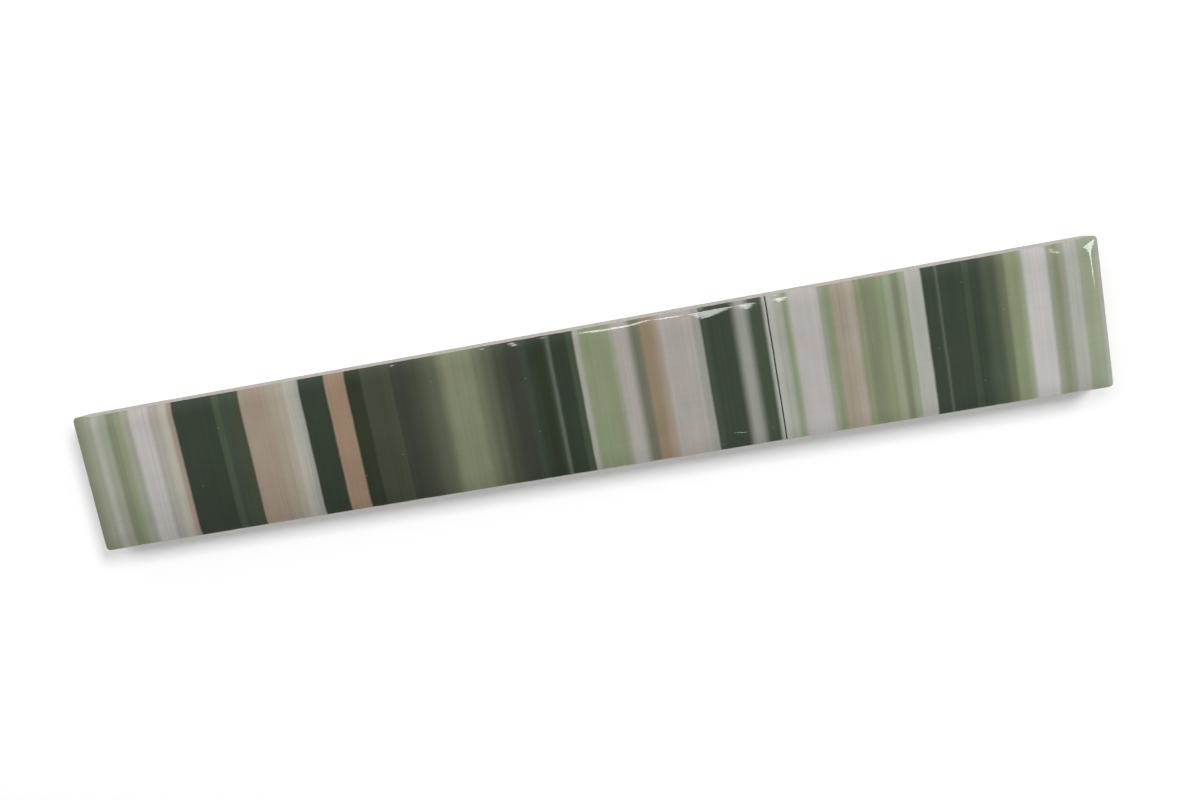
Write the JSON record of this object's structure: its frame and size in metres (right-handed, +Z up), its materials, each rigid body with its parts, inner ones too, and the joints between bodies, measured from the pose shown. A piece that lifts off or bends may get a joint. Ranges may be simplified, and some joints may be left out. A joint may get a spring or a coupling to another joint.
{
  "type": "ceramic edge tile",
  "caption": "Long narrow glazed ceramic edge tile with a softly cushioned striped face, square unglazed walls and a shallow waffle-keyed back for bedding in adhesive.",
  "frame": {"origin": "middle of the back, on the bedding plane", "axes": "+X along the strip, +Y across it, +Z up out of the glazed face"},
  "size_m": [0.25, 0.035, 0.008],
  "materials": {
    "glazed_tile": "glossy striped glaze on the face, bare matt biscuit on the walls and back"
  },
  "bodies": {
    "root": {"edge_tile": "glazed_tile"}
  },
  "joints": []
}
